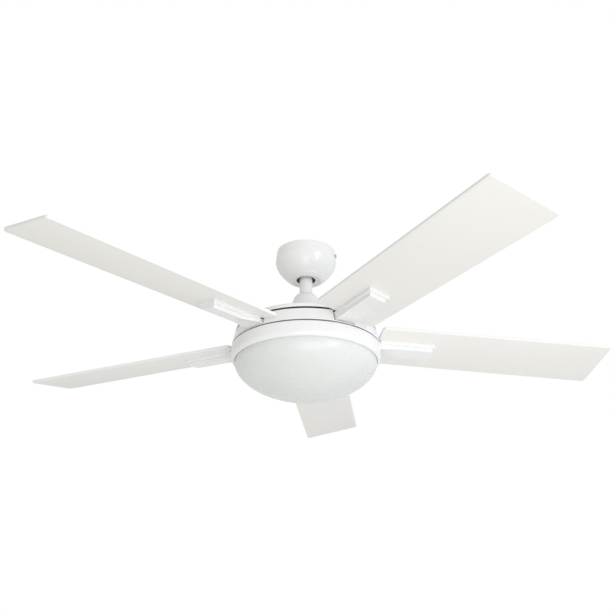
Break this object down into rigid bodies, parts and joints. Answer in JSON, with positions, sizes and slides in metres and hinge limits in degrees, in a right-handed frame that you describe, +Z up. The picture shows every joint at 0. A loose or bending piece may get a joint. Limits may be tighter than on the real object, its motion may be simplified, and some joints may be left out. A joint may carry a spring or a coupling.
{
  "type": "ceiling fan with light",
  "caption": "Ceiling fan on a short downrod with flat pitched blades, a turning band and a shallow opal glass bowl light underneath.",
  "frame": {"origin": "on the fan's axis, in the ceiling plane, at the middle of the bracket's top face", "axes": "+Z up into the ceiling along the fan's axis; +X along the outlet-box screw line"},
  "size_m": [1.1873, 1.1698, 0.3075],
  "materials": {
    "white_paint": "gloss white enamel",
    "blade_laminate": "satin white laminate on board",
    "opal_glass": "satin opal glass",
    "bulb_glass": "frosted",
    "zinc_steel": "zinc plated",
    "ball_black": "moulded black",
    "cast_metal": "die cast, grey",
    "shaft_steel": "ground steel",
    "core_steel": "stacked electrical steel",
    "copper_winding": "varnished copper wire",
    "holder_white": "glazed white",
    "cap_brass": "rolled screw cap",
    "lead_plastic": "pvc insulation",
    "washer_fibre": "vulcanised fibre"
  },
  "bodies": {
    "ceiling_mount": {"hanger_bracket": "zinc_steel", "canopy": "white_paint", "canopy_screws": "white_paint", "remote_receiver": "ball_black", "ground_screw": "zinc_steel"},
    "hanger": {"ball_pin": "zinc_steel", "ball_set_screw": "zinc_steel", "bulb_caps": "cap_brass", "bulb_globes": "bulb_glass", "capacitor": "ball_black", "clevis_pin": "zinc_steel", "coupler_screws": "zinc_steel", "coupling_cover": "white_paint", "downrod": "white_paint", "hairpin_clip": "zinc_steel", "hanger_ball": "ball_black", "lamp_bracket": "zinc_steel", "lampholders": "holder_white", "light_pan": "zinc_steel", "light_ring": "white_paint", "light_ring_screws": "zinc_steel", "lower_bearing_inner_race": "shaft_steel", "motor_coupler": "cast_metal", "motor_shaft": "shaft_steel", "reverse_switch_body": "ball_black", "shaft_nuts": "zinc_steel", "stator_core": "core_steel", "stator_windings": "copper_winding", "supply_leads": "lead_plastic", "top_cover": "white_paint", "top_cover_screws": "zinc_steel", "upper_bearing_inner_race": "shaft_steel"},
    "rotor": {"rotor_upper_bell": "cast_metal", "rotor_lower_bell": "cast_metal", "rotor_core": "core_steel", "rotor_core_screws": "zinc_steel", "rotor_band": "white_paint", "upper_bearing_outer_race": "shaft_steel", "lower_bearing_outer_race": "shaft_steel", "upper_bearing_balls": "shaft_steel", "lower_bearing_balls": "shaft_steel", "blade_screws": "zinc_steel", "blade_washers": "washer_fibre", "arm_screws": "zinc_steel", "blade_1": "blade_laminate", "blade_2": "blade_laminate", "blade_3": "blade_laminate", "blade_4": "blade_laminate", "blade_5": "blade_laminate", "blade_arm_1": "white_paint", "blade_arm_2": "white_paint", "blade_arm_3": "white_paint", "blade_arm_4": "white_paint", "blade_arm_5": "white_paint"},
    "glass": {"glass_bowl": "opal_glass", "glass_collar": "zinc_steel"},
    "switch_knob": {"reverse_switch_knob": "ball_black"}
  },
  "joints": [
    {"name": "ball_swing", "type": "hinge", "parent": "ceiling_mount", "child": "hanger", "pos_m": [0, 0, -0.041], "axis": [1, 0, 0], "range_deg": [-12, 12]},
    {"name": "fan_spin", "type": "hinge", "parent": "hanger", "child": "rotor", "pos_m": [0, 0, 0], "axis": [0, 0, 1], "continuous": true},
    {"name": "glass_twist", "type": "hinge", "parent": "hanger", "child": "glass", "pos_m": [0, 0, 0], "axis": [0, 0, 1], "range_deg": [0, 20]},
    {"name": "reverse_slide", "type": "slide", "parent": "hanger", "child": "switch_knob", "axis": [1, 0, 0], "range_m": [-0.003, 0.003]}
  ]
}
